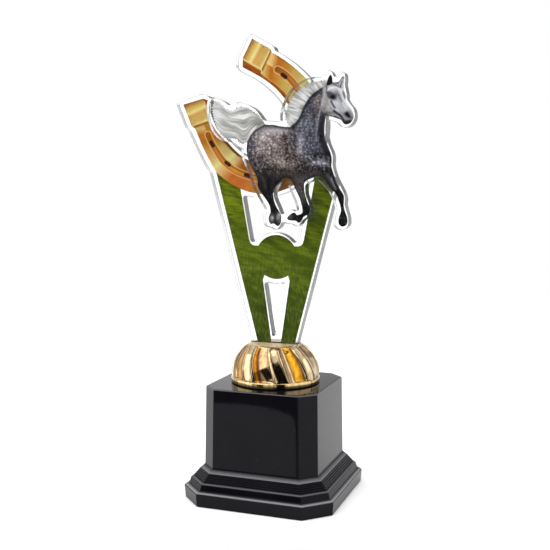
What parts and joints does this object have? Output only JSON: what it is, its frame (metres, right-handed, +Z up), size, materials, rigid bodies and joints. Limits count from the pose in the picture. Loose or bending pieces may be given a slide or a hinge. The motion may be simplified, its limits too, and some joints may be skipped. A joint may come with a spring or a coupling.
{
  "type": "horse trophy",
  "caption": "Award trophy: clear plates printed with a galloping horse, a horseshoe and grass stand in a gold fluted riser on a black moulded plinth.",
  "frame": {"origin": "centre of the plinth's underside", "axes": "+Z up, -Y towards the viewer of the printed side, +X to that viewer's right"},
  "size_m": [0.085, 0.0688, 0.2042],
  "materials": {
    "black_plastic": "polished black moulding",
    "gold_plastic": "metallised gold, mirror-like",
    "clear_acrylic": "clear sheet with polished cut edges",
    "printed_ink": "opaque ink printed on the back of the clear sheet"
  },
  "bodies": {
    "root": {"plinth": "black_plastic", "riser": "gold_plastic", "back_plate": "clear_acrylic", "horse_plate": "clear_acrylic"}
  },
  "joints": []
}
